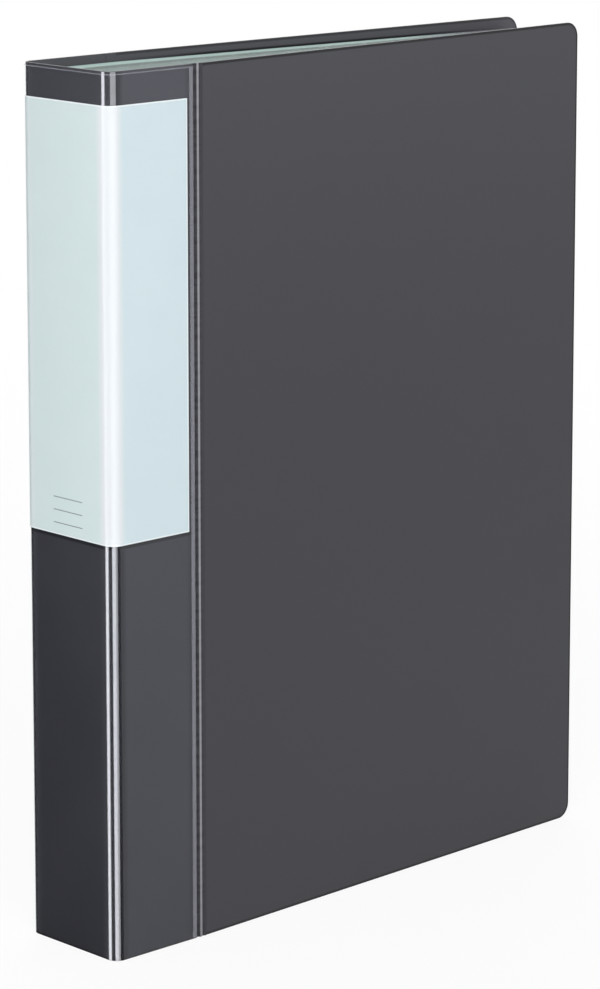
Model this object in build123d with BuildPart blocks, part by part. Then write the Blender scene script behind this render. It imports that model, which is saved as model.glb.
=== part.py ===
# Clear pocket display book: a creased plastic cover, a clear title sleeve wrapped round its spine
# with a slip-in title card, and clear pockets bound inside.
# Millimetres. +Z is up, +X runs from the spine to the fore-edge, the front cover faces -Y.
# The origin is the middle of the footprint, on the floor that the book stands on.
import os
from math import cos, radians, sin, tan

from build123d import *

# Cover sheet
COVER_HEIGHT = 307.0
COVER_WIDTH = 236.4  # closed, from the spine's outer face to the fore-edge
SPINE_WIDTH = 45.5  # across the outer faces of the two gutters
SHEET = 1.0
SPINE_CORNER_R = 4.0  # outer radius of the two folds beside the spine
FORE_CORNER_R = 5.5  # rounded corners at the fore-edge
COVER_LEAN = 2.0  # degrees that each closed cover leans in

# Double crease between a gutter and its cover: two pressed grooves with a land between them
GUTTER = 38.0  # spine's outer face to the first groove
CREASE_LAND = 1.4
CREASE_WEB = 0.25  # sheet left under a groove
CREASE_WALL = 46.0  # degrees each wall leans back, so a crease folds through a right angle
CREASE_SLIT = 0.05  # between the two halves of a web, so that they turn freely

# Title sleeve of clear film and the card inside it
SLEEVE_FILM = 0.25
SLEEVE_SLOT = 0.35  # room for the card
SLEEVE_MARGIN = 1.6  # film welded flat beside the crease
SLEEVE_RAMP = 0.6
SLEEVE_WELD = 2.0  # cross welds under the card and at the foot
SLEEVE_LIFT = 0.5  # film's foot above the floor
SLEEVE_DROP = 0.8  # film's top edge below the cover's
CARD = 0.2
CARD_HEIGHT = 149.5
CARD_DROP = 11.4  # card's top edge below the cover's
CARD_PLAY = 0.5

# Pockets
POCKET_COUNT = 80
POCKET_GROUP = 8  # pockets that share a file
POCKET_FILM = 0.06
POCKET_SEAM = 2.5
POCKET_LIFT = 2.0  # pockets' foot above the floor
POCKET_DROP = 3.5  # pockets' open top below the cover's
POCKET_INSET = 5.0  # pockets' fore-edge inside the cover's
STACK_CLEARANCE = 0.8  # stack of pockets to each gutter
LEAF_CLEARANCE = 0.07  # between neighbouring pockets at the fore-edge
LEAF_FOLD = 0.4  # slit along the line where the pockets fold
LEAF_SETBACK = 0.5  # that line beyond the outer crease
BINDING_DEPTH = 10.0  # welded edges that hold the pockets inside the spine

# Plan of the closed book
sleeve_reach = SLEEVE_SLOT + SLEEVE_FILM
x_fore = (COVER_WIDTH + sleeve_reach) / 2
x_spine = x_fore - COVER_WIDTH
y_outer = SPINE_WIDTH / 2
groove_depth = SHEET - CREASE_WEB
groove_half = CREASE_SLIT / 2 + groove_depth * tan(radians(CREASE_WALL))
y_pivot = y_outer - groove_depth
x_inner_crease = x_spine + GUTTER
x_outer_crease = x_inner_crease + 2 * groove_half + CREASE_LAND
lean = radians(COVER_LEAN)
cover_length = (x_fore - x_outer_crease - groove_depth * sin(lean)) / cos(lean)

# Sleeve and card ends along a gutter
x_margin_end = x_inner_crease - groove_half
x_ramp_foot = x_margin_end - SLEEVE_MARGIN
x_ramp_head = x_ramp_foot - SLEEVE_RAMP
sleeve_height = COVER_HEIGHT - SLEEVE_DROP - SLEEVE_LIFT
card_foot = COVER_HEIGHT - CARD_DROP - CARD_HEIGHT

# Stack of pockets
x_binding = x_spine + SHEET
x_pocket = x_binding + BINDING_DEPTH
stack_half = y_outer - SHEET - STACK_CLEARANCE
pocket_pitch = 2 * stack_half / POCKET_COUNT
pocket_height = COVER_HEIGHT - POCKET_DROP - POCKET_LIFT
x_fold = x_outer_crease + LEAF_SETBACK
leaf_length = x_fore - POCKET_INSET - x_fold
fore_pitch = pocket_pitch * (1 - leaf_length * tan(lean) / stack_half)
pocket_gap = fore_pitch - LEAF_CLEARANCE - 2 * POCKET_FILM
film_offset = (pocket_gap + POCKET_FILM) / 2

os.makedirs("parts", exist_ok=True)


def spine_block(reach, x_end):
    # Plan of all that lies within reach of the cover's outer face, from the spine to x_end
    length = x_end - x_spine + reach
    with BuildSketch() as block:
        with Locations((x_end - length / 2, 0)):
            Rectangle(length, SPINE_WIDTH + 2 * reach)
        fillet(block.vertices().group_by(Axis.X)[0], SPINE_CORNER_R + reach)
    return block.sketch


def spine_band(inner, outer, x_end):
    # U-shaped plan round the spine between two distances out from the cover's outer face
    with BuildSketch() as band:
        add(spine_block(outer, x_end))
        add(spine_block(inner, x_end + SHEET), mode=Mode.SUBTRACT)
    return band.sketch


def save(solid, name):
    solid.label = name
    export_step(solid, f"parts/{name}.step")


# Spine and both gutters are one folded sheet, with half a groove along each free edge
with BuildPart() as spine_wrap:
    with BuildSketch():
        add(spine_band(-SHEET, 0, x_inner_crease - CREASE_SLIT / 2))
        for side in (-1, 1):
            with BuildLine():
                Polyline(
                    (x_inner_crease - groove_half, side * y_outer),
                    (x_inner_crease - CREASE_SLIT / 2, side * y_pivot),
                    (x_inner_crease, side * y_pivot),
                    (x_inner_crease, side * y_outer),
                    close=True,
                )
            make_face(mode=Mode.SUBTRACT)
    extrude(amount=COVER_HEIGHT)
save(spine_wrap.part, "spine_wrap")

for side, name in ((-1, "front"), (1, "back")):
    # Land between the two grooves, with half a groove on each side of it
    with BuildPart() as hinge_strip:
        with BuildSketch():
            with BuildLine():
                Polyline(
                    (x_inner_crease + CREASE_SLIT / 2, side * (y_outer - SHEET)),
                    (x_outer_crease - CREASE_SLIT / 2, side * (y_outer - SHEET)),
                    (x_outer_crease - CREASE_SLIT / 2, side * y_pivot),
                    (x_outer_crease - groove_half, side * y_outer),
                    (x_inner_crease + groove_half, side * y_outer),
                    (x_inner_crease + CREASE_SLIT / 2, side * y_pivot),
                    close=True,
                )
            make_face()
        extrude(amount=COVER_HEIGHT)
    save(hinge_strip.part, f"{name}_hinge_strip")

    # Cover leans in from the second groove
    cover_plane = Plane(
        origin=(x_outer_crease, side * y_pivot, 0),
        x_dir=(cos(lean), -side * sin(lean), 0),
        z_dir=(0, 0, 1),
    )
    with BuildPart() as cover:
        with BuildSketch(cover_plane):
            with BuildLine():
                Polyline(
                    (CREASE_SLIT / 2, -side * CREASE_WEB),
                    (cover_length, -side * CREASE_WEB),
                    (cover_length, side * groove_depth),
                    (groove_half, side * groove_depth),
                    (CREASE_SLIT / 2, 0),
                    close=True,
                )
            make_face()
        extrude(amount=COVER_HEIGHT)
        across = Axis(cover_plane.origin, cover_plane.y_dir)
        fillet(cover.edges().filter_by(across).group_by(Axis.X)[-1], FORE_CORNER_R)
    save(cover.part, f"{name}_cover")

# Clear film stands off the spine and gutters by the slot, and is welded down beside each crease,
# under the card and at the foot. Its top is open.
with BuildPart() as title_sleeve:
    with BuildSketch(Plane.XY.offset(SLEEVE_LIFT)):
        add(spine_band(SLEEVE_SLOT, sleeve_reach, x_ramp_head))
        for side in (-1, 1):
            with BuildLine():
                Polyline(
                    (x_ramp_head, side * (y_outer + sleeve_reach)),
                    (x_ramp_foot, side * (y_outer + SLEEVE_FILM)),
                    (x_margin_end, side * (y_outer + SLEEVE_FILM)),
                    (x_margin_end, side * y_outer),
                    (x_ramp_foot, side * y_outer),
                    (x_ramp_head, side * (y_outer + SLEEVE_SLOT)),
                    close=True,
                )
            make_face()
    extrude(amount=sleeve_height)
    for weld_foot in (SLEEVE_LIFT, card_foot - CARD_PLAY - SLEEVE_WELD):
        with BuildSketch(Plane.XY.offset(weld_foot)):
            add(spine_band(0, SLEEVE_SLOT, x_ramp_head))
        extrude(amount=SLEEVE_WELD)
save(title_sleeve.part, "title_sleeve")

# Title card lies midway in the slot, folded round both spine corners
with BuildPart() as title_card:
    with BuildSketch(Plane.XY.offset(card_foot)):
        card_reach = (SLEEVE_SLOT - CARD) / 2
        add(spine_band(card_reach, card_reach + CARD, x_ramp_head - CARD_PLAY))
    extrude(amount=CARD_HEIGHT)
save(title_card.part, "title_card")

# Pockets' inner edges are welded into one block against the inside of the spine
with BuildPart() as binding_block:
    with BuildSketch(Plane.XY.offset(POCKET_LIFT)) as binding_plan:
        with Locations((x_binding + BINDING_DEPTH / 2, 0)):
            Rectangle(BINDING_DEPTH, 2 * stack_half)
        fillet(binding_plan.vertices().group_by(Axis.X)[0], SPINE_CORNER_R - SHEET)
    extrude(amount=pocket_height)
save(binding_block.part, "binding_block")


def strips(places, length, thickness, foot, height):
    # Upright flat strips, one starting at each place
    with BuildPart() as built:
        with BuildSketch(Plane.XY.offset(foot)):
            with Locations(*places):
                Rectangle(length, thickness, align=(Align.MIN, Align.CENTER))
        extrude(amount=height)
    return built.part.solids()


def pocket_places(numbers, along, across):
    # Points on each pocket's leaf, measured from its fold; leaves lean in with the covers
    places = []
    for number in numbers:
        y_fold = (number + 0.5) * pocket_pitch - stack_half
        turn = -COVER_LEAN * y_fold / stack_half
        x_place = x_fold + along * cos(radians(turn)) - across * sin(radians(turn))
        y_place = y_fold + along * sin(radians(turn)) + across * cos(radians(turn))
        places.append(Location((x_place, y_place, 0), (0, 0, turn)))
    return places


# Each pocket is two films, welded together along its foot and fore-edge and open at the top.
# It folds beside the outer crease: the part in the gutter stays, the leaf turns.
gutter_length = x_fold - LEAF_FOLD / 2 - x_pocket
leaf_start = LEAF_FOLD / 2
leaf_film_length = leaf_length - leaf_start
for first in range(0, POCKET_COUNT, POCKET_GROUP):
    numbers = range(first, first + POCKET_GROUP)
    tag = f"{first + 1:02d}_{first + POCKET_GROUP:02d}"

    gutter_solids = []
    folds = [(number + 0.5) * pocket_pitch - stack_half for number in numbers]
    for across in (-film_offset, film_offset):
        places = [(x_pocket, fold + across) for fold in folds]
        gutter_solids += strips(places, gutter_length, POCKET_FILM, POCKET_LIFT, pocket_height)
    places = [(x_pocket, fold) for fold in folds]
    gutter_solids += strips(places, gutter_length, pocket_gap, POCKET_LIFT, POCKET_SEAM)
    save(Compound(gutter_solids), f"pocket_gutters_{tag}")

    leaf_solids = []
    for across in (-film_offset, film_offset):
        places = pocket_places(numbers, leaf_start, across)
        leaf_solids += strips(places, leaf_film_length, POCKET_FILM, POCKET_LIFT, pocket_height)
    places = pocket_places(numbers, leaf_start, 0)
    foot_length = leaf_film_length - POCKET_SEAM
    leaf_solids += strips(places, foot_length, pocket_gap, POCKET_LIFT, POCKET_SEAM)
    places = pocket_places(numbers, leaf_length - POCKET_SEAM, 0)
    leaf_solids += strips(places, POCKET_SEAM, pocket_gap, POCKET_LIFT, pocket_height)
    save(Compound(leaf_solids), f"pocket_leaves_{tag}")
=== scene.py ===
from math import atan2, cos, degrees, hypot, pi, radians, sin, tan

import bmesh
import bpy
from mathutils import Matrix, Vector


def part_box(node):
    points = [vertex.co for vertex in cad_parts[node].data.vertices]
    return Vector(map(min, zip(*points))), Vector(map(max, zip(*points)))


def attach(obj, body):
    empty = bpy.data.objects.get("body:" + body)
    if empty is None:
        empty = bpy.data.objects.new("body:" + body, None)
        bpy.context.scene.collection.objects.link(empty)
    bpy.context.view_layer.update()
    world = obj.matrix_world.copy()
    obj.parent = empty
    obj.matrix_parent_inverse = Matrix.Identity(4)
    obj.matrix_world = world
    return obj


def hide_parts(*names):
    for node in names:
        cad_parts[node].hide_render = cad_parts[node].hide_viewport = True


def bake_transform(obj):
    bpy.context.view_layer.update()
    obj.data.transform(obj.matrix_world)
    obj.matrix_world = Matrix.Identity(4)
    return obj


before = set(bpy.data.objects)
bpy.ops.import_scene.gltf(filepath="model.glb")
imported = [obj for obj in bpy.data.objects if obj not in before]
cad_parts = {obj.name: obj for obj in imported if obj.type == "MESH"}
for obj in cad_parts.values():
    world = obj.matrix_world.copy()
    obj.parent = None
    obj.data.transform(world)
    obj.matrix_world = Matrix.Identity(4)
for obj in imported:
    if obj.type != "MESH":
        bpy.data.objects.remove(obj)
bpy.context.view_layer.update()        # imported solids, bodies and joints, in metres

scene = bpy.context.scene
mm = 0.001
nearby = 0.01            # mm, for picking by place
facing = 0.9             # a normal with this much along an axis faces that way

# plan of the closed book in mm, the same figures as the solids
plan = {
    "height": 307.0,
    "xSpine": -117.9,        # outer face of the spine
    "yOuter": 22.75,         # outer face of each gutter strip
    "sheet": 1.0,
    "cornerR": 4.0,          # folds beside the spine
    "cornerSteps": 14,
    "xInnerCrease": -79.9,
    "xOuterCrease": -76.8967,
    "grooveHalf": 0.80165,
    "grooveDepth": 0.75,
    "lean": 2.0,             # degrees that each closed cover leans in
}
yPivot = plan["yOuter"] - plan["grooveDepth"]
xWrapEnd = plan["xInnerCrease"] - plan["grooveHalf"]
xCoverStart = plan["xOuterCrease"] + plan["grooveHalf"]
xBend = plan["xSpine"] + plan["cornerR"]       # middle of each fold
yBend = plan["yOuter"] - plan["cornerR"]


# modelling in edit mode, all sizes in mm
def startClean():
    if bpy.context.object and bpy.context.object.mode != "OBJECT":
        bpy.ops.object.mode_set(mode="OBJECT")
    bpy.ops.object.select_all(action="DESELECT")


def makeActive(piece):
    startClean()
    piece.select_set(True)
    bpy.context.view_layer.objects.active = piece


def addBlock(name, low, high):
    startClean()
    middle = [(a + b) / 2 * mm for a, b in zip(low, high)]
    size = [(b - a) * mm for a, b in zip(low, high)]
    bpy.ops.mesh.primitive_cube_add(size=1, location=middle, scale=size)
    piece = bpy.context.object
    piece.name = piece.data.name = name
    bpy.ops.object.transform_apply(location=True, rotation=True, scale=True)
    return piece


def editPiece(piece):
    makeActive(piece)
    bpy.ops.object.mode_set(mode="EDIT")


def endEdit():
    bpy.ops.object.mode_set(mode="OBJECT")


def pick(piece, kind, test):
    # selects the verts, edges or faces that pass the test, which gets the middle in mm and the part itself
    bpy.ops.mesh.select_mode(type={"verts": "VERT", "edges": "EDGE", "faces": "FACE"}[kind])
    bpy.ops.mesh.select_all(action="DESELECT")
    grid = bmesh.from_edit_mesh(piece.data)
    grid.normal_update()
    found = 0
    for part in getattr(grid, kind):
        corners = [part] if kind == "verts" else list(part.verts)
        middle = [sum(c.co[k] for c in corners) / len(corners) / mm for k in range(3)]
        if test(middle, part):
            part.select_set(True)
            found += 1
    grid.select_flush_mode()
    bmesh.update_edit_mesh(piece.data)
    return found


def isUpright(edge):
    a, b = edge.verts
    return abs(a.co.x - b.co.x) + abs(a.co.y - b.co.y) < 1e-7


def cutAcross(piece, places, axis, test=lambda m, f: True, near=0.1):
    # cuts the faces that pass the test at each place along one axis,
    # except where the mesh already has points this near
    normal = [1.0 if k == axis else 0.0 for k in range(3)]
    for place in places:
        pick(piece, "faces", test)
        bpy.ops.mesh.bisect(plane_co=[n * place * mm for n in normal], plane_no=normal,
                            threshold=near * mm)


def applyModifier(piece, kind, **values):
    makeActive(piece)
    step = piece.modifiers.new(kind.title(), kind)
    for key, value in values.items():
        setattr(step, key, value)
    bpy.ops.object.modifier_apply(modifier=step.name)


def giveThickness(piece, thick):
    applyModifier(piece, "SOLIDIFY", thickness=thick * mm, offset=-1, use_even_offset=True)


def breakEdges(piece, width, segments=2, angle=50):
    applyModifier(piece, "BEVEL", width=width * mm, segments=segments, limit_method="ANGLE",
                  angle_limit=radians(angle), harden_normals=False)


def smoothPiece(piece, angle=15):
    makeActive(piece)
    bpy.ops.object.shade_smooth_by_angle(angle=radians(angle))


def turnPart(angle, centre, axis="Z"):
    # with no window the operator turns the other way round
    bpy.ops.transform.rotate(value=-angle, orient_axis=axis, orient_type="GLOBAL",
                             center_override=[c * mm for c in centre])


def joinPieces(parts):
    startClean()
    for part in parts:
        part.select_set(True)
    bpy.context.view_layer.objects.active = parts[0]
    bpy.ops.object.join()
    return bpy.context.object


def setMaterials(piece, materials, choose=None):
    piece.data.materials.clear()
    for material in materials:
        piece.data.materials.append(material)
    if choose:
        for face in piece.data.polygons:
            face.material_index = choose([c / mm for c in face.center], face.normal)


def storeMark(piece, name, values):
    # a number for each vertex, which stays put when the piece bends
    mark = piece.data.attributes.new(name, "FLOAT", "POINT")
    mark.data.foreach_set("value", values)


def foldRound(name, reach, xEnd, foot, top):
    # open sheet folded round the spine, its outer face this far outside the cover sheet
    piece = addBlock(name, (plan["xSpine"] - reach, -plan["yOuter"] - reach, foot),
                     (xEnd, plan["yOuter"] + reach, top))
    editPiece(piece)
    pick(piece, "faces", lambda m, f: abs(f.normal.z) > facing or f.normal.x > facing)
    bpy.ops.mesh.delete(type="FACE")
    pick(piece, "edges", lambda m, e: isUpright(e) and m[0] < xBend)
    bpy.ops.mesh.bevel(offset=(plan["cornerR"] + reach) * mm, segments=plan["cornerSteps"], profile=0.5,
                       affect="EDGES", clamp_overlap=False)
    endEdit()
    return piece


# shader nodes
def newMaterial(name):
    material = bpy.data.materials.new(name)
    material.use_nodes = True
    tree = material.node_tree
    tree.nodes.clear()
    out = tree.nodes.new("ShaderNodeOutputMaterial")
    skin = tree.nodes.new("ShaderNodeBsdfPrincipled")
    tree.links.new(skin.outputs[0], out.inputs["Surface"])
    return material, tree, skin


def put(tree, kind, **values):
    node = tree.nodes.new(kind)
    for key, value in values.items():
        setattr(node, key, value)
    return node


def feed(tree, node, **wires):
    # sets plain values and joins sockets: a space in a socket's name is written _, and n3 means input 3
    for key, value in wires.items():
        numbered = key[0] == "n" and key[1:].isdigit()
        socket = node.inputs[int(key[1:])] if numbered else node.inputs[key.replace("_", " ")]
        if isinstance(value, bpy.types.NodeSocket):
            tree.links.new(value, socket)
        else:
            socket.default_value = value
    return node


def calc(tree, work, a, b=0.0, c=0.0, clamp=False):
    node = put(tree, "ShaderNodeMath", operation=work, use_clamp=clamp)
    feed(tree, node, n0=a, n1=b, n2=c)
    return node.outputs[0]


def ramp(tree, value, start, end, low=0.0, high=1.0, smooth=False):
    node = put(tree, "ShaderNodeMapRange", interpolation_type="SMOOTHSTEP" if smooth else "LINEAR")
    feed(tree, node, Value=value, From_Min=start, From_Max=end, To_Min=low, To_Max=high)
    return node.outputs[0]


def metres(values, start=0.0):
    # places in mm, counted from a start, as the nodes need them
    return [(start + value) * mm for value in values]


def most(tree, first, *others):
    for other in others:
        first = calc(tree, "MAXIMUM", first, other)
    return first


def within(tree, value, low, high, soft):
    # 1 between two places in mm, fading over the soft width outside them
    rise = ramp(tree, value, (low - soft) * mm, low * mm)
    fall = ramp(tree, value, (high + soft) * mm, high * mm)
    return calc(tree, "MULTIPLY", rise, fall)


def mixColours(tree, share, first, second):
    node = put(tree, "ShaderNodeMix", data_type="RGBA")
    feed(tree, node, n0=share, n6=first, n7=second)
    return node.outputs[2]


def objectPoint(tree):
    return put(tree, "ShaderNodeTexCoord").outputs["Object"]


def objectPlace(tree):
    split = feed(tree, put(tree, "ShaderNodeSeparateXYZ"), n0=objectPoint(tree))
    return list(split.outputs)


def readMark(tree, name):
    return put(tree, "ShaderNodeAttribute", attribute_name=name).outputs["Fac"]


grainSet = {
    "detail": (2.0, 4.0), "rough": (0.55, 0.5),      # fine grain, slow mottle
    "cells": 0.35,                                   # share of round cells in the grain
}
mottleSpan = (0.3, 0.7)      # the mottle's values lie between these


def makeGrainGroup():
    # fine pressed grain of extruded sheet, and a slow mottle
    group = bpy.data.node_groups.new("sheetGrain", "ShaderNodeTree")
    for label, kind in (("Place", "Vector"), ("Grain Scale", "Float"), ("Mottle Scale", "Float")):
        group.interface.new_socket(name=label, in_out="INPUT", socket_type="NodeSocket" + kind)
    for label in ("Height", "Mottle"):
        group.interface.new_socket(name=label, in_out="OUTPUT", socket_type="NodeSocketFloat")
    source, sink = put(group, "NodeGroupInput"), put(group, "NodeGroupOutput")
    place, fine = source.outputs["Place"], source.outputs["Grain Scale"]
    grain, mottle = put(group, "ShaderNodeTexNoise"), put(group, "ShaderNodeTexNoise")
    feed(group, grain, Vector=place, Scale=fine,
         Detail=grainSet["detail"][0], Roughness=grainSet["rough"][0])
    cells = feed(group, put(group, "ShaderNodeTexVoronoi"), Vector=place, Scale=fine)
    height = calc(group, "MULTIPLY_ADD", cells.outputs["Distance"], grainSet["cells"], grain.outputs[0])
    feed(group, mottle, Vector=place, Scale=source.outputs["Mottle Scale"],
         Detail=grainSet["detail"][1], Roughness=grainSet["rough"][1])
    group.links.new(height, sink.inputs["Height"])
    group.links.new(mottle.outputs[0], sink.inputs["Mottle"])
    return group


sheetGrain = makeGrainGroup()


def useGrain(tree, grainScale, mottleScale):
    node = put(tree, "ShaderNodeGroup", node_tree=sheetGrain)
    feed(tree, node, Place=objectPoint(tree), Grain_Scale=grainScale, Mottle_Scale=mottleScale)
    return node.outputs["Height"], node.outputs["Mottle"]


def addBump(tree, skin, height, strength, distance):
    bump = feed(tree, put(tree, "ShaderNodeBump"), Height=height, Strength=strength, Distance=distance * mm)
    tree.links.new(bump.outputs[0], skin.inputs["Normal"])


# matt polypropylene sheet of the covers
coverSheet = {
    "outer": ((0.041, 0.041, 0.0465, 1), (0.047, 0.047, 0.054, 1)),      # mottled between these
    "inner": ((0.084, 0.084, 0.093, 1), (0.094, 0.094, 0.104, 1)),       # inner faces of the same sheet, painted paler: painted light where the inside lies in shade
    "topLightTone": (0.10, 0.10, 0.11, 1), "topShare": 0.24, "topFrom": 150.0,      # painted light: paler towards the top edge
    "lineZ": (303.4, 304.2), "lineSoft": 0.5,        # painted shadow line just below the pockets' tops
    "lineSlope": 0.0065, "lineLevel": -50.0,         # it falls towards the fore-edge, and has lineZ at this x
    "lineX": (-75, -35, 70, 110),                    # it starts, is full, fades and ends here
    "shadowLineShare": (0.0, 0.95),                        # outer face, inner face
    "rimShade": (0.011, 0.011, 0.013, 1), "rimInside": (0.046, 0.046, 0.051, 1),    # painted shade along the cut outline
    "rimWidth": 1.5, "rimFade": (0.2, 0.65), "rimClear": 0.2,
    "rough": (0.42, 0.54), "shine": 0.28,
    "grain": (5000.0, 18.0), "bump": (0.2, 0.02),    # fine and slow scale, strength and depth in mm
    "edgeBreak": 0.15,
    "foreCornerR": 5.5, "foreSteps": 12,
}


def makeCoverPlastic(name, tones, rimTone, shadowLineShare):
    material, tree, skin = newMaterial(name)
    x, _, z = objectPlace(tree)
    height, mottle = useGrain(tree, *coverSheet["grain"])
    # painted light: the sheet pales towards its top edge
    rise = ramp(tree, z, coverSheet["topFrom"] * mm, plan["height"] * mm)
    top = calc(tree, "MULTIPLY", calc(tree, "MULTIPLY", rise, rise), coverSheet["topShare"])
    tone = mixColours(tree, top, mixColours(tree, mottle, *tones), coverSheet["topLightTone"])
    # painted shadow line below the pockets' tops, in the rim's dark tone
    if shadowLineShare:
        start, full, fade, end = metres(coverSheet["lineX"])
        along = calc(tree, "MULTIPLY", ramp(tree, x, start, full, 0.0, shadowLineShare), ramp(tree, x, end, fade))
        past = calc(tree, "SUBTRACT", x, coverSheet["lineLevel"] * mm)
        level = calc(tree, "MULTIPLY_ADD", past, coverSheet["lineSlope"], z)
        shadowLine = within(tree, level, *coverSheet["lineZ"], coverSheet["lineSoft"])
        tone = mixColours(tree, calc(tree, "MULTIPLY", shadowLine, along), tone, coverSheet["rimShade"])
    # painted shade along the cut outline of each face
    rimShade = ramp(tree, readMark(tree, "rimShade"), *coverSheet["rimFade"], smooth=True)
    feed(tree, skin, Base_Color=mixColours(tree, rimShade, tone, rimTone),
         Roughness=ramp(tree, mottle, *mottleSpan, *coverSheet["rough"]),
         Specular_IOR_Level=coverSheet["shine"])
    addBump(tree, skin, height, *coverSheet["bump"])
    return material


outerLine, innerLine = coverSheet["shadowLineShare"]
coverPlastic = makeCoverPlastic("coverPlastic", coverSheet["outer"], coverSheet["rimShade"], outerLine)
# coverInside is the same sheet painted paler, as painted light on the shaded inner faces
coverInside = makeCoverPlastic("coverInside", coverSheet["inner"], coverSheet["rimInside"], innerLine)

# clear film of the title sleeve: its gloss is a coat on the sheet and the card under it
sleeve = {
    "film": 0.25, "slot": 0.35, "hair": 0.02,        # slot for the card, hair of air under the welds
    "foot": 0.5, "top": 306.2,
    "rampHead": -82.90, "ramp": 0.6, "margin": 1.59,
    "weldFoot": 0.5, "weldHigh": 2.0, "weldSlope": 0.3,
    "ior": 1.45, "foldIor": 2.5,           # glossier where it is stretched round a fold
    "clear": (0.99, 0.995, 0.995, 1), "grain": (700.0, 30.0),
    "haze": (0.50, 0.50, 0.57, 1), "hazeLight": (0.62, 0.62, 0.68, 1), "hazeRough": 0.4,
    "marginX": (-82.95, -82.5), "marginHaze": 0.29,
    # the lip is a painted highlight along the film's cut top edge
    "lipDeep": 0.3, "lipSoft": 0.1, "lipHighlight": 0.30,
}

# spine and gutter strips: one sheet folded round the spine
wrap = {
    "foot": (0.026, 0.026, 0.032, 1), "low": (0.037, 0.037, 0.045, 1),   # painted shade: darker towards the foot, below the card
    "high": (0.056, 0.056, 0.066, 1),      # painted light: paler along the open top, above the card
    "lowZ": (0.0, 146.0), "bandZ": (286.0, 296.0),
    "speckAndGlow": (0.09, 0.09, 0.10, 1), "speckShare": 0.12,
    "glowWide": 2.8, "foldGlow": 0.3,      # painted light: lighter beside the fold on the spine
    "stripTone": (0.04, 0.04, 0.12, 1), "stripShare": 0.06,       # painted light: the gutter strips a little bluer than the spine
    "stripStart": (-2.6, -1.6),            # counted from the middle of the fold
    "shade": (0.010, 0.010, 0.012, 1),
    "cardZ": (145.0, 146.0), "cardSoft": 0.4, "cardShade": 0.8,   # under the card's foot
    "weldX": (-84.6, -82.9), "weldShade": 0.2,                    # beside the weld
    "foldX": (2.3, 0.3), "foldShade": 0.6,                        # past the fold on the gutter strip
    "footZ": (1.1, 0.4), "footShade": 0.85,                       # cut foot
    "rough": (0.42, 0.52), "shine": 0.05,
    "gloss": 0.13,                         # roughness of the clear film's gloss over it
    "foldTurn": 78.0,                      # degrees of each fold that are glossier
    "cut": ((0.035, 0.035, 0.038, 1), (0.06, 0.06, 0.065, 1)), "cutUp": 0.3,      # top edge with its bevels
    "cutGrain": (2500.0, 120.0), "cutRough": (0.4, 0.6), "cutShine": 0.25, "cutBump": (0.3, 0.04),
    "edgeBreak": 0.18,
}


def makeWrapPlastic(name, ior):
    # the same sheet under glossy film
    material, tree, skin = newMaterial(name)
    x, y, z = objectPlace(tree)
    _, mottle = useGrain(tree, *coverSheet["grain"])
    # painted shade towards the foot and painted light along the open top
    low = mixColours(tree, ramp(tree, z, *metres(wrap["lowZ"])), wrap["foot"], wrap["low"])
    tone = mixColours(tree, ramp(tree, z, *metres(wrap["bandZ"])), low, wrap["high"])
    specks = ramp(tree, mottle, *mottleSpan, 0.0, wrap["speckShare"])
    tone = mixColours(tree, specks, tone, wrap["speckAndGlow"])
    # painted light beside the fold on the spine, in the speck tone
    nearFold = ramp(tree, calc(tree, "ABSOLUTE", y), (yBend - wrap["glowWide"]) * mm, yBend * mm,
                    0.0, wrap["foldGlow"])
    onSpine = calc(tree, "LESS_THAN", x, xBend * mm)
    tone = mixColours(tree, calc(tree, "MULTIPLY", nearFold, onSpine), tone, wrap["speckAndGlow"])
    # painted light: the same sheet a little bluer on the gutter strips
    onStrip = ramp(tree, x, *metres(wrap["stripStart"], xBend))
    tone = mixColours(tree, calc(tree, "MULTIPLY", onStrip, wrap["stripShare"]), tone, wrap["stripTone"])
    underCard = within(tree, z, *wrap["cardZ"], wrap["cardSoft"])
    besideWeld = ramp(tree, x, *metres(wrap["weldX"]), 0.0, wrap["weldShade"])
    besideFold = ramp(tree, x, *metres(wrap["foldX"], xBend), 0.0, wrap["foldShade"])
    cutFoot = ramp(tree, z, *metres(wrap["footZ"]), 0.0, wrap["footShade"])
    shade = most(tree, calc(tree, "MULTIPLY", underCard, wrap["cardShade"]), besideWeld,
                 calc(tree, "MULTIPLY", besideFold, onStrip), cutFoot)
    feed(tree, skin, Base_Color=mixColours(tree, shade, tone, wrap["shade"]),
         Roughness=ramp(tree, mottle, *mottleSpan, *wrap["rough"]), Specular_IOR_Level=wrap["shine"],
         Coat_Weight=1.0, Coat_Roughness=wrap["gloss"], Coat_IOR=ior)
    return material


def makeCutEdge():
    material, tree, skin = newMaterial("cutEdge")
    height, mottle = useGrain(tree, *wrap["cutGrain"])
    feed(tree, skin, Base_Color=mixColours(tree, mottle, *wrap["cut"]),
         Roughness=ramp(tree, mottle, *mottleSpan, *wrap["cutRough"]), Specular_IOR_Level=wrap["cutShine"])
    addBump(tree, skin, height, *wrap["cutBump"])
    return material


def wrapFace(m, normal):
    # 0 inside, 1 outside under the film, 2 cut top edge, 3 outside of a fold
    if normal.z > wrap["cutUp"]:
        return 2
    dx, dy = xBend - m[0], abs(m[1]) - yBend
    middle = plan["cornerR"] - plan["sheet"] / 2
    if dx > 0 and dy > 0 and hypot(dx, dy) > middle:
        return 3 if degrees(atan2(dy, dx)) < wrap["foldTurn"] else 1
    return 1 if dx > middle or dy > middle else 0


spineWrap = foldRound("spineWrap", 0.0, xWrapEnd, 0.0, plan["height"])
giveThickness(spineWrap, plan["sheet"])
breakEdges(spineWrap, wrap["edgeBreak"])
smoothPiece(spineWrap)
setMaterials(spineWrap, [coverInside, makeWrapPlastic("wrapPlastic", sleeve["ior"]), makeCutEdge(),
                         makeWrapPlastic("wrapFold", sleeve["foldIor"])], wrapFace)
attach(spineWrap, "spine")
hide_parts("spine_wrap")
print("spine wrap made")

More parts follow.
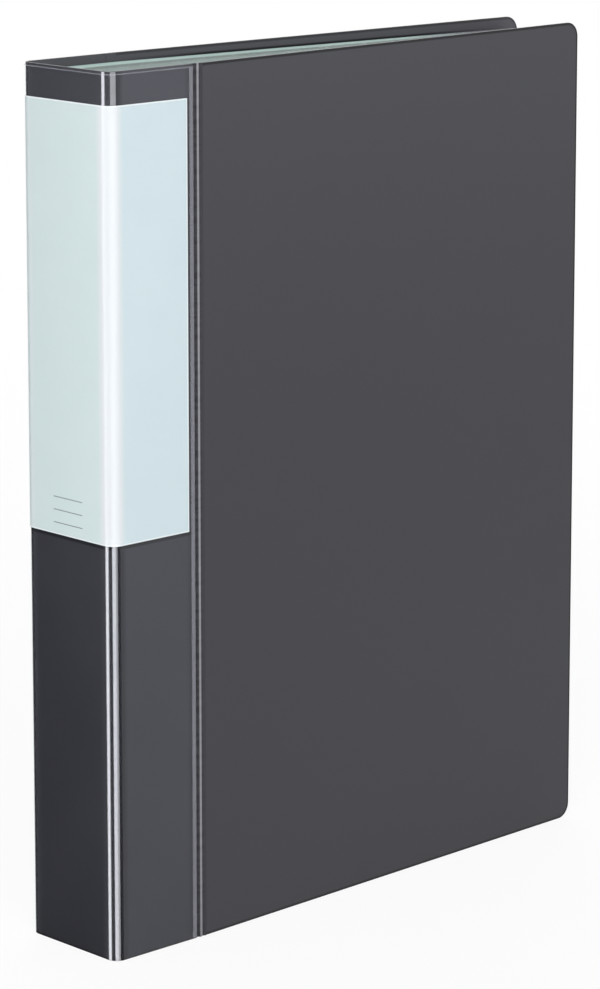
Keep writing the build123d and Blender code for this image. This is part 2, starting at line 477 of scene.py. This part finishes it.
# title card, folded round both spine corners in the sleeve
card = {
    "reach": 0.275, "thick": 0.2, "edgeBreak": 0.04,
    "foot": 146.1, "top": 295.6, "xEnd": -83.4,
    # the same paper, painted a little bluer on the gutter strips as painted light
    "spineTone": (0.63, 0.722, 0.713, 1), "stripTone": (0.61, 0.707, 0.737, 1),
    "stripStart": (1.0, 6.0),              # counted from the spine's outer face
    "fibre": (0.85, 0.92, 0.92, 1), "fibreSpan": (0.35, 0.65), "fibreShare": 0.06,
    "foldLightTone": (0.752, 0.762, 0.775, 1),  # painted highlight: paler about each fold
    "foldY": (-3.5, 0.5), "foldX": (2.2, -1.0),      # counted from the middle of the fold
    "foldLightShare": (1.0, 0.3),               # painted highlight, fuller on the front fold than on the back one
    "rules": (159.2, 154.7, 150.2), "ruleLength": 15.0, "ruleThick": 0.3, "ruleSoft": 0.05,
    "ruleDeep": 0.5,                       # rules stay on the spine's face, to this depth
    "ink": (0.22, 0.26, 0.27, 1),
    "border": (0.86, 0.90, 0.90, 1), "borderWidth": 0.6, "borderSoft": 0.3,      # unprinted rim
    "grain": (2200.0, 60.0), "rough": (0.5, 0.62), "shine": 0.2, "bump": (0.12, 0.03),
    "gloss": 0.33,
}


def ruledLines(tree, x, y, z):
    half, soft = card["ruleThick"] / 2, card["ruleSoft"]
    lines = [within(tree, z, level - half, level + half, soft) for level in card["rules"]]
    across = within(tree, y, -card["ruleLength"] / 2, card["ruleLength"] / 2, soft)
    onSpine = calc(tree, "LESS_THAN", x, (plan["xSpine"] + card["ruleDeep"]) * mm)
    return calc(tree, "MULTIPLY", most(tree, *lines), calc(tree, "MULTIPLY", across, onSpine))


def unprintedRim(tree, x, z):
    wide, soft = card["borderWidth"], card["borderSoft"]
    foot = ramp(tree, z, *metres((wide, wide - soft), card["foot"]))
    top = ramp(tree, z, *metres((-wide, soft - wide), card["top"]))
    end = ramp(tree, x, *metres((-wide, soft - wide), card["xEnd"]))
    return most(tree, foot, top, end)


def makeCardPaper():
    material, tree, skin = newMaterial("cardPaper")
    x, y, z = objectPlace(tree)
    height, mottle = useGrain(tree, *card["grain"])
    # painted light: the card a little bluer on the gutter strips
    onStrip = ramp(tree, x, *metres(card["stripStart"], plan["xSpine"]))
    tone = mixColours(tree, onStrip, card["spineTone"], card["stripTone"])
    # painted highlight about each fold, fuller at the front
    bentY = ramp(tree, calc(tree, "ABSOLUTE", y), *metres(card["foldY"], yBend), smooth=True)
    bentX = ramp(tree, x, *metres(card["foldX"], xBend), smooth=True)
    frontFoldLight = ramp(tree, y, -yBend * mm, yBend * mm, *card["foldLightShare"])
    foldHighlight = calc(tree, "MULTIPLY", calc(tree, "MULTIPLY", bentX, bentY), frontFoldLight)
    tone = mixColours(tree, foldHighlight, tone, card["foldLightTone"])
    fibres = ramp(tree, mottle, *card["fibreSpan"], 0.0, card["fibreShare"])
    tone = mixColours(tree, fibres, tone, card["fibre"])
    tone = mixColours(tree, ruledLines(tree, x, y, z), tone, card["ink"])
    feed(tree, skin, Base_Color=mixColours(tree, unprintedRim(tree, x, z), tone, card["border"]),
         Roughness=ramp(tree, mottle, *mottleSpan, *card["rough"]), Specular_IOR_Level=card["shine"],
         Coat_Weight=1.0, Coat_Roughness=card["gloss"], Coat_IOR=sleeve["ior"])
    addBump(tree, skin, height, *card["bump"])
    return material


titleCard = foldRound("titleCard", card["reach"], card["xEnd"], card["foot"], card["top"])
giveThickness(titleCard, card["thick"])
breakEdges(titleCard, card["edgeBreak"], 1)
smoothPiece(titleCard)
setMaterials(titleCard, [makeCardPaper()])
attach(titleCard, "title_card")
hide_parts("title_card")
print("title card made")


# clear sleeve: film folded round the spine, pressed down along its foot
def makeClearFilm():
    # clear, hazed where it is welded, with a painted highlight along its cut top edge
    material, tree, skin = newMaterial("clearFilm")
    x, _, z = objectPlace(tree)
    _, mottle = useGrain(tree, *sleeve["grain"])
    feed(tree, skin, Base_Color=mixColours(tree, mottle, sleeve["haze"], sleeve["hazeLight"]),
         Roughness=sleeve["hazeRough"])
    front = calc(tree, "SUBTRACT", 1.0, put(tree, "ShaderNodeNewGeometry").outputs["Backfacing"])
    clear = feed(tree, put(tree, "ShaderNodeBsdfTransparent"), Color=sleeve["clear"])
    margin = ramp(tree, x, *metres(sleeve["marginX"]), 0.0, sleeve["marginHaze"])
    # painted highlight along the cut top edge, mixed with the weld haze
    lipFoot = sleeve["top"] - sleeve["lipDeep"]
    lip = ramp(tree, z, (lipFoot - sleeve["lipSoft"]) * mm, lipFoot * mm, 0.0, sleeve["lipHighlight"])
    weldHazeAndLipHighlight = calc(tree, "MULTIPLY", most(tree, margin, lip), front)
    surface = put(tree, "ShaderNodeMixShader")
    feed(tree, surface, n0=weldHazeAndLipHighlight, n1=clear.outputs[0], n2=skin.outputs[0])
    tree.links.new(surface.outputs[0], tree.nodes["Material Output"].inputs["Surface"])
    return material


def makeSleeve():
    piece = foldRound("titleSleeve", sleeve["film"] + sleeve["slot"], sleeve["rampHead"],
                      sleeve["foot"], sleeve["top"])
    drop = sleeve["slot"] - sleeve["hair"]
    editPiece(piece)
    for side in (-1, 1):          # down a short slope to the weld beside each crease
        pick(piece, "edges", lambda m, e: isUpright(e) and abs(m[0] - sleeve["rampHead"]) < nearby
             and m[1] * side > 0)
        down = (sleeve["ramp"] * mm, -side * drop * mm, 0)
        bpy.ops.mesh.extrude_region_move(TRANSFORM_OT_translate={"value": down})
        bpy.ops.mesh.extrude_region_move(TRANSFORM_OT_translate={"value": (sleeve["margin"] * mm, 0, 0)})
    weldHead = sleeve["weldFoot"] + sleeve["weldHigh"]
    cutAcross(piece, (weldHead, weldHead + sleeve["weldSlope"]), 2)
    bpy.ops.mesh.select_all(action="SELECT")
    bpy.ops.mesh.normals_make_consistent(inside=False)
    if pick(piece, "faces", lambda m, f: f.normal.x > facing):      # an open sheet can come out inside out
        bpy.ops.mesh.select_all(action="SELECT")
        bpy.ops.mesh.flip_normals()
    pick(piece, "verts", lambda m, v: m[2] < weldHead + nearby and m[0] < sleeve["rampHead"] + nearby)
    bpy.ops.transform.shrink_fatten(value=-drop * mm)        # pressed down on the sheet along the foot
    endEdit()
    giveThickness(piece, sleeve["film"])
    smoothPiece(piece)
    return piece


titleSleeve = makeSleeve()
setMaterials(titleSleeve, [makeClearFilm()])
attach(titleSleeve, "spine")
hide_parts("title_sleeve")
print("title sleeve made")

# double crease beside each cover: two pressed grooves with a rounded rib between them
crease = {
    # across from the gutter strip: distance, depth, share of painted groove shade, share of rib tone
    "profile": (
        (0.00, 0.00, 0.6, 0.0), (0.10, 0.45, 1.0, 0.0), (0.35, 0.60, 1.0, 0.0), (1.35, 0.60, 1.0, 0.0),
        (1.62, 0.45, 1.0, 0.0), (1.80, 0.16, 1.0, 0.0), (2.06, 0.00, 0.0, 1.0), (2.70, 0.00, 0.0, 1.0),
        (2.88, 0.06, 0.0, 0.8), (3.10, 0.40, 0.6, 0.0), (3.35, 0.45, 0.6, 0.0), (3.62, 0.25, 0.5, 0.0),
        (3.85, 0.06, 0.2, 0.0), (4.10, 0.00, 0.0, 0.0),
    ),
    "leanFrom": 0.05,                      # points this far past the outer crease lean with the cover
    # painted shade in the grooves, with darker pits along them
    "groove": (0.038, 0.038, 0.042, 1), "pit": (0.020, 0.020, 0.023, 1),
    "pitScale": 420.0, "pitDetail": 2.0, "pitRough": 0.6, "pitSpan": (0.45, 0.62),
    "rib": (0.29, 0.29, 0.305, 1),         # whitened by folding, and partly a painted highlight along the rib
    "ribWear": (1.0, 0.82),                # more and less along its length
    "rough": (0.52, 0.36), "shine": 0.18,
    "smooth": 60,
}


def makeCreasePlastic():
    material, tree, skin = newMaterial("creasePlastic")
    _, _, z = objectPlace(tree)
    height, mottle = useGrain(tree, *coverSheet["grain"])
    groove, rib = readMark(tree, "groove"), readMark(tree, "rib")
    along = put(tree, "ShaderNodeTexNoise", noise_dimensions="1D")
    feed(tree, along, W=z, Scale=crease["pitScale"], Detail=crease["pitDetail"], Roughness=crease["pitRough"])
    pits = ramp(tree, along.outputs[0], *crease["pitSpan"], smooth=True)
    # painted shade in the grooves, darker at the pits
    shadedGroove = mixColours(tree, pits, crease["groove"], crease["pit"])
    tone = mixColours(tree, groove, mixColours(tree, mottle, *coverSheet["outer"]), shadedGroove)
    white = calc(tree, "MULTIPLY", rib, ramp(tree, along.outputs[0], *mottleSpan, *crease["ribWear"]))
    feed(tree, skin, Base_Color=mixColours(tree, white, tone, crease["rib"]),
         Roughness=ramp(tree, rib, 0.0, 1.0, *crease["rough"]), Specular_IOR_Level=crease["shine"])
    addBump(tree, skin, height, *coverSheet["bump"])
    return material


creasePlastic = makeCreasePlastic()


def sheetBlock(name, side, xStart, xEnd):
    # flat length of cover sheet, before it leans
    ys = sorted((side * plan["yOuter"], side * (plan["yOuter"] - plan["sheet"])))
    return addBlock(name, (xStart, ys[0], 0), (xEnd, ys[1], plan["height"]))


def paintSheet(piece, side, outside):
    setMaterials(piece, [outside, coverInside], lambda m, n: 1 if n.y * side < -0.5 else 0)


def creaseMarks(point):
    # shares of painted groove shade and rib tone, which only the outer face has
    steps = {round(step[0], 2): step[2:] for step in crease["profile"]}
    outside = abs(point.y) / mm > yPivot
    return steps.get(round(point.x / mm - xWrapEnd, 2), (0, 0)) if outside else (0, 0)


def makeHinge(name, side):
    piece = sheetBlock(name, side, xWrapEnd, xCoverStart)
    editPiece(piece)
    cutAcross(piece, [xWrapEnd + step[0] for step in crease["profile"][1:]], 0)
    for place, depth, *_ in crease["profile"]:
        if depth > 0:
            pick(piece, "verts", lambda m, v: abs(m[0] - xWrapEnd - place) < nearby
                 and abs(m[1]) > plan["yOuter"] - nearby)
            bpy.ops.transform.translate(value=(0, -side * depth * mm, 0))
    endEdit()
    marks = [creaseMarks(v.co) for v in piece.data.vertices]
    storeMark(piece, "groove", [groove for groove, rib in marks])
    storeMark(piece, "rib", [rib for groove, rib in marks])
    editPiece(piece)
    pick(piece, "verts", lambda m, v: m[0] > plan["xOuterCrease"] + crease["leanFrom"])
    turnPart(-side * radians(plan["lean"]), (plan["xOuterCrease"], side * yPivot, 0))
    endEdit()
    smoothPiece(piece, crease["smooth"])
    paintSheet(piece, side, creasePlastic)
    return piece


def rimDistance(x, z, xEnd):
    # how far inside the cover's rounded outline
    radius, half = coverSheet["foreCornerR"], plan["height"] / 2
    dx, dz = x - (xEnd - radius), abs(z - half) - (half - radius)
    if dx > 0 and dz > 0:
        return radius - hypot(dx, dz)
    return min(xEnd - x, half - abs(z - half))


def makeCover(name, side):
    # flat sheet with rounded fore-edge corners, leaning in about the outer crease
    lean = radians(plan["lean"])
    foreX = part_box("front_cover")[1][0] / mm
    length = (foreX - plan["xOuterCrease"] - plan["grooveDepth"] * sin(lean)) / cos(lean)
    xEnd = plan["xOuterCrease"] + length
    piece = sheetBlock(name, side, xCoverStart, xEnd)
    editPiece(piece)
    pick(piece, "edges", lambda m, e: abs(m[0] - xEnd) < nearby
         and abs(e.verts[0].co.y - e.verts[1].co.y) > plan["sheet"] / 2 * mm)
    bpy.ops.mesh.bevel(offset=coverSheet["foreCornerR"] * mm, segments=coverSheet["foreSteps"], profile=0.5,
                       affect="EDGES", clamp_overlap=False)
    pick(piece, "faces", lambda m, f: abs(f.normal.y) > facing)
    bpy.ops.mesh.inset(thickness=coverSheet["rimWidth"] * mm)
    margin = coverSheet["rimWidth"] + coverSheet["rimClear"]
    cutAcross(piece, (margin, plan["height"] - margin), 2)       # keeps the rim off the crease's side
    endEdit()
    breakEdges(piece, coverSheet["edgeBreak"])
    # marks the painted shade along the cut outline
    inside = [rimDistance(v.co.x / mm, v.co.z / mm, xEnd) for v in piece.data.vertices]
    storeMark(piece, "rimShade", [1.0 if i < coverSheet["rimWidth"] / 2 else 0.0 for i in inside])
    editPiece(piece)
    bpy.ops.mesh.select_all(action="SELECT")
    turnPart(-side * lean, (plan["xOuterCrease"], side * yPivot, 0))
    endEdit()
    smoothPiece(piece)
    paintSheet(piece, side, coverPlastic)
    return piece


for side, tag in ((-1, "front"), (1, "back")):
    hinge = makeHinge(tag + "Hinge", side)
    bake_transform(hinge)
    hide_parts(tag + "_hinge_strip")
    cover = makeCover(tag + "Cover", side)
    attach(cover, tag + "_cover")
    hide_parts(tag + "_cover")
print("covers and creases made")

# pockets: two films each, welded along the foot and the fore-edge, open at the top
pockets = {
    "count": 80, "perPack": 16, "perNode": 8,
    "film": 0.06, "gap": 0.168, "seam": 2.5, "bindSeam": 1.0, "fineCut": 0.001,
    "stackHalf": 20.95, "foot": 2.0, "top": 303.9,
    "xInner": -106.9, "xFold": -76.3967, "foldReach": 6.0, "foldSteps": (-1, -0.5, 0, 0.5, 1),
    "close": 2.5, "sag": 0.3,            # degrees: outer leaves close up, and all sag towards the fore-edge
    "clearTone": (0.80, 0.90, 0.88, 1), "alpha": (0.35, 0.40),
    "pale": (0.58, 0.74, 0.69, 1), "deep": (0.20, 0.258, 0.24, 1), "deepShare": 0.12,
    "endShadeTone": (0.175, 0.171, 0.195, 1),
    "endX": (60.0, 92.0), "endZ": (299.0, 301.5),                # painted shade: tops grey towards the fore-edge
    "topGlow": (-3.0, -0.2), "topAlpha": 0.5,                    # tint gathers below the open top
    "weldTone": (0.72, 0.83, 0.81, 1), "weldAlpha": 0.3, "weldSoft": 0.3,
    "weldRibs": 520.0, "ribHigh": 2.0,                           # pressed ribs about 1 mm apart
    "filmGrain": (600.0, 25.0), "filmRough": (0.16, 0.26), "filmBump": (0.08, 0.03),
    "edgeGrain": (900.0, 30.0), "edgeRough": (0.3, 0.45), "edgeBump": (0.1, 0.03),
    # painted light and shade in bands from the front bundle to the back one: share of the stack, paleness
    "bundles": ((0.0, 0.7), (0.16, 0.7), (0.24, 0.2), (0.34, 0.2), (0.40, 0.3), (0.66, 0.2), (0.72, 0.0),
                (0.80, 0.05), (0.86, 1.0), (1.0, 1.0)),
}
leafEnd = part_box("pocket_leaves_33_40")[1][0] / mm
seamX, seamZ = leafEnd - pockets["seam"], pockets["foot"] + pockets["seam"]


def pocketTintAndShade(tree, mottle):
    x, _, z = objectPlace(tree)
    # painted light and shade: paler and darker bands across the stack
    tone = mixColours(tree, readMark(tree, "bandLight"), pockets["deep"], pockets["pale"])
    deeper = ramp(tree, mottle, *mottleSpan, 0.0, pockets["deepShare"])
    tone = mixColours(tree, deeper, tone, pockets["deep"])
    # painted shade: the tops turn grey towards the fore-edge
    far = ramp(tree, x, *metres(pockets["endX"]))
    atTop = ramp(tree, z, *metres(pockets["endZ"]))
    return mixColours(tree, calc(tree, "MULTIPLY", far, atTop), tone, pockets["endShadeTone"])


def makePocketFilm():
    material, tree, skin = newMaterial("pocketFilm")
    _, _, z = objectPlace(tree)
    height, mottle = useGrain(tree, *pockets["filmGrain"])
    soft = pockets["weldSoft"]
    foreWeld = ramp(tree, readMark(tree, "along"), (seamX - soft) * mm, seamX * mm)
    weld = most(tree, foreWeld, ramp(tree, z, (seamZ + soft) * mm, seamZ * mm))
    ribs = put(tree, "ShaderNodeTexWave", wave_type="BANDS", bands_direction="DIAGONAL")
    feed(tree, ribs, Vector=objectPoint(tree), Scale=pockets["weldRibs"])
    ribs = calc(tree, "MULTIPLY", ribs.outputs[1], weld)
    nearTop = ramp(tree, z, *metres(pockets["topGlow"], pockets["top"]), smooth=True)
    tone = mixColours(tree, weld, pockets["clearTone"], pockets["weldTone"])
    alpha = ramp(tree, mottle, *mottleSpan, *pockets["alpha"])
    alpha = calc(tree, "MULTIPLY_ADD", weld, pockets["weldAlpha"], alpha)
    feed(tree, skin, Base_Color=mixColours(tree, nearTop, tone, pocketTintAndShade(tree, mottle)),
         Roughness=ramp(tree, mottle, *mottleSpan, *pockets["filmRough"]),
         Alpha=calc(tree, "MULTIPLY_ADD", nearTop, pockets["topAlpha"], alpha, clamp=True))
    addBump(tree, skin, calc(tree, "MULTIPLY_ADD", ribs, pockets["ribHigh"], height), *pockets["filmBump"])
    return material


def makePocketEdge():
    # cut edges of the film, where its tint gathers
    material, tree, skin = newMaterial("pocketEdge")
    height, mottle = useGrain(tree, *pockets["edgeGrain"])
    feed(tree, skin, Base_Color=pocketTintAndShade(tree, mottle),
         Roughness=ramp(tree, mottle, *mottleSpan, *pockets["edgeRough"]))
    addBump(tree, skin, height, *pockets["edgeBump"])
    return material


def makePocket():
    # one bag: a block with a slot let down into it from the open top
    inner, outer = pockets["gap"] / 2, pockets["gap"] / 2 + pockets["film"]
    folds = [pockets["xFold"] + pockets["foldReach"] * k for k in pockets["foldSteps"]]
    slotX = (pockets["xInner"] + pockets["bindSeam"], seamX)
    piece = addBlock("pocket", (pockets["xInner"], -outer, pockets["foot"]),
                     (leafEnd, outer, pockets["top"]))
    editPiece(piece)
    cutAcross(piece, (*slotX, *folds), 0)
    cutAcross(piece, (-inner, inner), 1, lambda m, f: f.normal.z > facing, pockets["fineCut"])
    pick(piece, "faces", lambda m, f: f.normal.z > facing and abs(m[1]) < inner
         and slotX[0] < m[0] < slotX[1])
    down = (0, 0, (seamZ - pockets["top"]) * mm)
    bpy.ops.mesh.extrude_region_move(TRANSFORM_OT_translate={"value": down})
    endEdit()
    storeMark(piece, "along", [v.co.x for v in piece.data.vertices])
    return piece


def bandLightAt(share):
    points = pockets["bundles"]
    for (a, low), (b, high) in zip(points, points[1:]):
        if share <= b:
            return low + (high - low) * (share - a) / (b - a)
    return points[-1][1]


pocketFilm, pocketEdge = makePocketFilm(), makePocketEdge()
pocketModel = makePocket()
pitch = 2 * pockets["stackHalf"] / pockets["count"]
for pack in range(pockets["count"] // pockets["perPack"]):
    copies = []
    first = pack * pockets["perPack"]
    for number in range(first, first + pockets["perPack"]):
        yFold = (number + 0.5) * pitch - pockets["stackHalf"]
        copy = pocketModel.copy()
        copy.data = pocketModel.data.copy()
        scene.collection.objects.link(copy)
        editPiece(copy)
        pick(copy, "verts", lambda m, v: m[0] > pockets["xFold"] + nearby)
        turnPart(-radians(pockets["close"]) * yFold / pockets["stackHalf"], (pockets["xFold"], 0, 0))
        turnPart(radians(pockets["sag"]), (pockets["xFold"], 0, pockets["top"]), "Y")
        bpy.ops.mesh.select_all(action="SELECT")
        bpy.ops.transform.translate(value=(0, yFold * mm, 0))
        endEdit()
        storeMark(copy, "bandLight", [bandLightAt((number + 0.5) / pockets["count"])] * len(copy.data.vertices))
        copies.append(copy)
    piece = joinPieces(copies)
    piece.name = piece.data.name = f"pocketPack{pack + 1}"
    setMaterials(piece, [pocketFilm, pocketEdge], lambda m, n: 1 if abs(n.z) > 0.8 or n.x > 0.8 else 0)
    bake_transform(piece)
    starts = range(first, first + pockets["perPack"], pockets["perNode"])
    groups = [f"{n + 1:02d}_{n + pockets['perNode']:02d}" for n in starts]
    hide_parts(*[f"pocket_gutters_{g}" for g in groups], *[f"pocket_leaves_{g}" for g in groups])
bpy.data.objects.remove(pocketModel)
print("pockets made")

# binding block keeps its solid, in the pockets' own film
binding = {
    "layers": 600.0, "wander": 0.4, "detail": 1.0,
    "mottle": (900.0, 30.0), "rough": (0.35, 0.5), "bump": (0.3, 0.05),
}


def makeBindingFilm():
    # many film edges pressed and welded into one block
    material, tree, skin = newMaterial("bindingFilm")
    _, mottle = useGrain(tree, *binding["mottle"])
    layers = put(tree, "ShaderNodeTexWave", wave_type="BANDS", bands_direction="Y")
    feed(tree, layers, Vector=objectPoint(tree), Scale=binding["layers"], Distortion=binding["wander"],
         Detail=binding["detail"])
    feed(tree, skin, Base_Color=mixColours(tree, layers.outputs[1], pockets["deep"], pockets["pale"]),
         Roughness=ramp(tree, mottle, *mottleSpan, *binding["rough"]))
    addBump(tree, skin, layers.outputs[1], *binding["bump"])
    return material


bindingFilm = makeBindingFilm()
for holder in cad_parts["binding_block"].material_slots:
    holder.material = bindingFilm
print("binding block finished")

# pale floor, white room, soft lamps
stageSet = {
    "floor": (0.90, 0.90, 0.90, 1), "floorSize": 30.0, "floorDrop": 0.0002,
    "glow": (0.88, 1.0), "glowReach": (0.35, 1.3),      # floor turns to plain white this far out, m
    "roomTone": (0.93, 0.95, 1.0, 1), "roomLight": 0.46,
    "keyPlace": (-1.25, -1.30, 1.55), "keySize": 1.6, "keyWatts": 39.0,
    "backPlace": (1.3, 1.3, 1.5), "backSize": 1.4, "backWatts": 18.0,
    "stripTone": (0.92, 0.905, 1.0),
    # for reflections alone, round the near spine corner:
    # degrees from the spine's side, height in m, brightness
    "stripAway": 1.0,
    "strips": {
        "sideStrip": ((-37, -7), (-0.8, 0.8), 3.1),
        "frontStripLow": ((34, 66), (-0.8, 0.04), 2.6),
        "frontStripDim": ((66, 84), (-0.8, 0.04), 0.8),
        "frontStripHigh": ((52, 112), (0.04, 0.8), 0.9),
    },
    "blackTone": (0.004, 0.004, 0.004, 1), "blackAway": 0.9,
    "blackCards": {
        "spineCard": ((-95, -41), (-1.0, 1.0)),
        "gapCard": ((-1, 33), (-1.0, 1.0)),
        "gapCardHigh": ((33, 51), (0.05, 1.0)),
        "coverCard": ((86, 120), (-1.0, 0.04)),
        "coverCardHigh": ((113, 122), (0.04, 1.0)),
    },
}


def seenRays(tree):
    path = put(tree, "ShaderNodeLightPath").outputs
    return most(tree, path["Is Camera Ray"], path["Is Glossy Ray"], path["Is Transmission Ray"])


def mattMaterial(name, tone):
    material, tree, skin = newMaterial(name)
    feed(tree, skin, Base_Color=tone, Roughness=0.9, Specular_IOR_Level=0.0)
    return material, tree, skin


def makeFloor():
    startClean()
    bpy.ops.mesh.primitive_plane_add(size=stageSet["floorSize"], location=(0, 0, -stageSet["floorDrop"]))
    floor = bpy.context.object
    floor.name = "floor"
    bpy.ops.object.transform_apply(location=True, rotation=True, scale=True)
    material, tree, skin = mattMaterial("paleFloor", stageSet["floor"])
    away = feed(tree, put(tree, "ShaderNodeVectorMath", operation="LENGTH"), n0=objectPoint(tree))
    glow = ramp(tree, away.outputs["Value"], *stageSet["glowReach"], *stageSet["glow"], smooth=True)
    white = put(tree, "ShaderNodeEmission")
    mix = put(tree, "ShaderNodeMixShader")
    glow = calc(tree, "MULTIPLY", seenRays(tree), glow)
    feed(tree, mix, n0=glow, n1=skin.outputs[0], n2=white.outputs[0])
    tree.links.new(mix.outputs[0], tree.nodes["Material Output"].inputs["Surface"])
    setMaterials(floor, [material])
    floor.visible_glossy = False     # upright glossy faces mirror the white room, not the floor's shadow


def makeWorld():
    world = bpy.data.worlds.new("softRoom")
    scene.world = world
    world.use_nodes = True
    tree = world.node_tree
    tree.nodes.clear()
    room, white = put(tree, "ShaderNodeBackground"), put(tree, "ShaderNodeBackground")
    feed(tree, room, Color=stageSet["roomTone"], Strength=stageSet["roomLight"])
    feed(tree, white, Color=(1, 1, 1, 1), Strength=1.0)
    mix = put(tree, "ShaderNodeMixShader")
    feed(tree, mix, n0=seenRays(tree), n1=room.outputs[0], n2=white.outputs[0])
    tree.links.new(mix.outputs[0], put(tree, "ShaderNodeOutputWorld").inputs["Surface"])


def addLamp(name, place, aim, size, watts, tone=(1, 1, 1)):
    lamp = bpy.data.lights.new(name, "AREA")
    lamp.shape = "RECTANGLE"
    lamp.size, lamp.size_y = size
    lamp.energy, lamp.color = watts, tone
    holder = bpy.data.objects.new(name, lamp)
    scene.collection.objects.link(holder)
    holder.location = place
    holder.rotation_euler = (Vector(place) - Vector(aim)).to_track_quat("Z", "Y").to_euler()
    holder.visible_camera = False
    return holder


def panelAt(angles, heights, distance):
    # middle, aim, width and height of an upright panel that faces the near spine corner
    middle, half = radians(sum(angles) / 2), radians(angles[1] - angles[0]) / 2
    level = sum(heights) / 2
    aim = Vector((xBend * mm, -yBend * mm, level))
    place = aim - Vector((cos(middle), sin(middle), 0)) * distance
    return place, aim, 2 * distance * tan(half), heights[1] - heights[0]


def addStrip(name, angles, heights, level):
    place, aim, width, tall = panelAt(angles, heights, stageSet["stripAway"])
    lamp = addLamp(name, place, aim, (width, tall), level * pi * width * tall, stageSet["stripTone"])
    lamp.visible_diffuse = False


def addBlackCard(name, angles, heights):
    startClean()
    place, aim, width, tall = panelAt(angles, heights, stageSet["blackAway"])
    bpy.ops.mesh.primitive_plane_add(size=1, location=place)
    panel = bpy.context.object
    panel.name = name
    panel.scale = (width, tall, 1)
    panel.rotation_euler = (place - aim).to_track_quat("Z", "Y").to_euler()
    bpy.ops.object.transform_apply(location=True, rotation=True, scale=True)
    setMaterials(panel, [mattMaterial("blackCard", stageSet["blackTone"])[0]])
    for ray in ("camera", "diffuse", "transmission", "shadow", "volume_scatter"):
        setattr(panel, "visible_" + ray, False)


makeFloor()
makeWorld()
bookMiddle = (0, 0, plan["height"] / 2 * mm)
addLamp("keyLamp", stageSet["keyPlace"], bookMiddle, (stageSet["keySize"],) * 2, stageSet["keyWatts"])
addLamp("backLamp", stageSet["backPlace"], bookMiddle, (stageSet["backSize"],) * 2, stageSet["backWatts"])
for name, values in stageSet["strips"].items():
    addStrip(name, *values)
for name, values in stageSet["blackCards"].items():
    addBlackCard(name, *values)

# camera at the photo's angle
shot = {
    "azimuth": -43.557, "elevation": 9.759, "distance": 1.380179,
    "target": (-0.007344, 0.001908, 0.215756),
    "focal": 3859.31, "frame": (600, 989), "shift": -0.2,      # focal length in pixels
}
turn, rise = radians(shot["azimuth"]), radians(shot["elevation"])
back = (sin(turn) * cos(rise), -cos(turn) * cos(rise), sin(rise))
camera = bpy.data.cameras.new("camera")
camera.sensor_width = 36
camera.lens = shot["focal"] * camera.sensor_width / max(shot["frame"])
camera.shift_y = shot["shift"]
camera.clip_start, camera.clip_end = 0.05, 60
cameraHolder = bpy.data.objects.new("camera", camera)
scene.collection.objects.link(cameraHolder)
cameraHolder.location = [t + shot["distance"] * b for t, b in zip(shot["target"], back)]
cameraHolder.rotation_euler = (pi / 2 - rise, 0, turn)
scene.camera = cameraHolder
scene.view_settings.view_transform = "Standard"
scene.cycles.transparent_max_bounces = 24      # through many layers of film
print("stage and camera made")
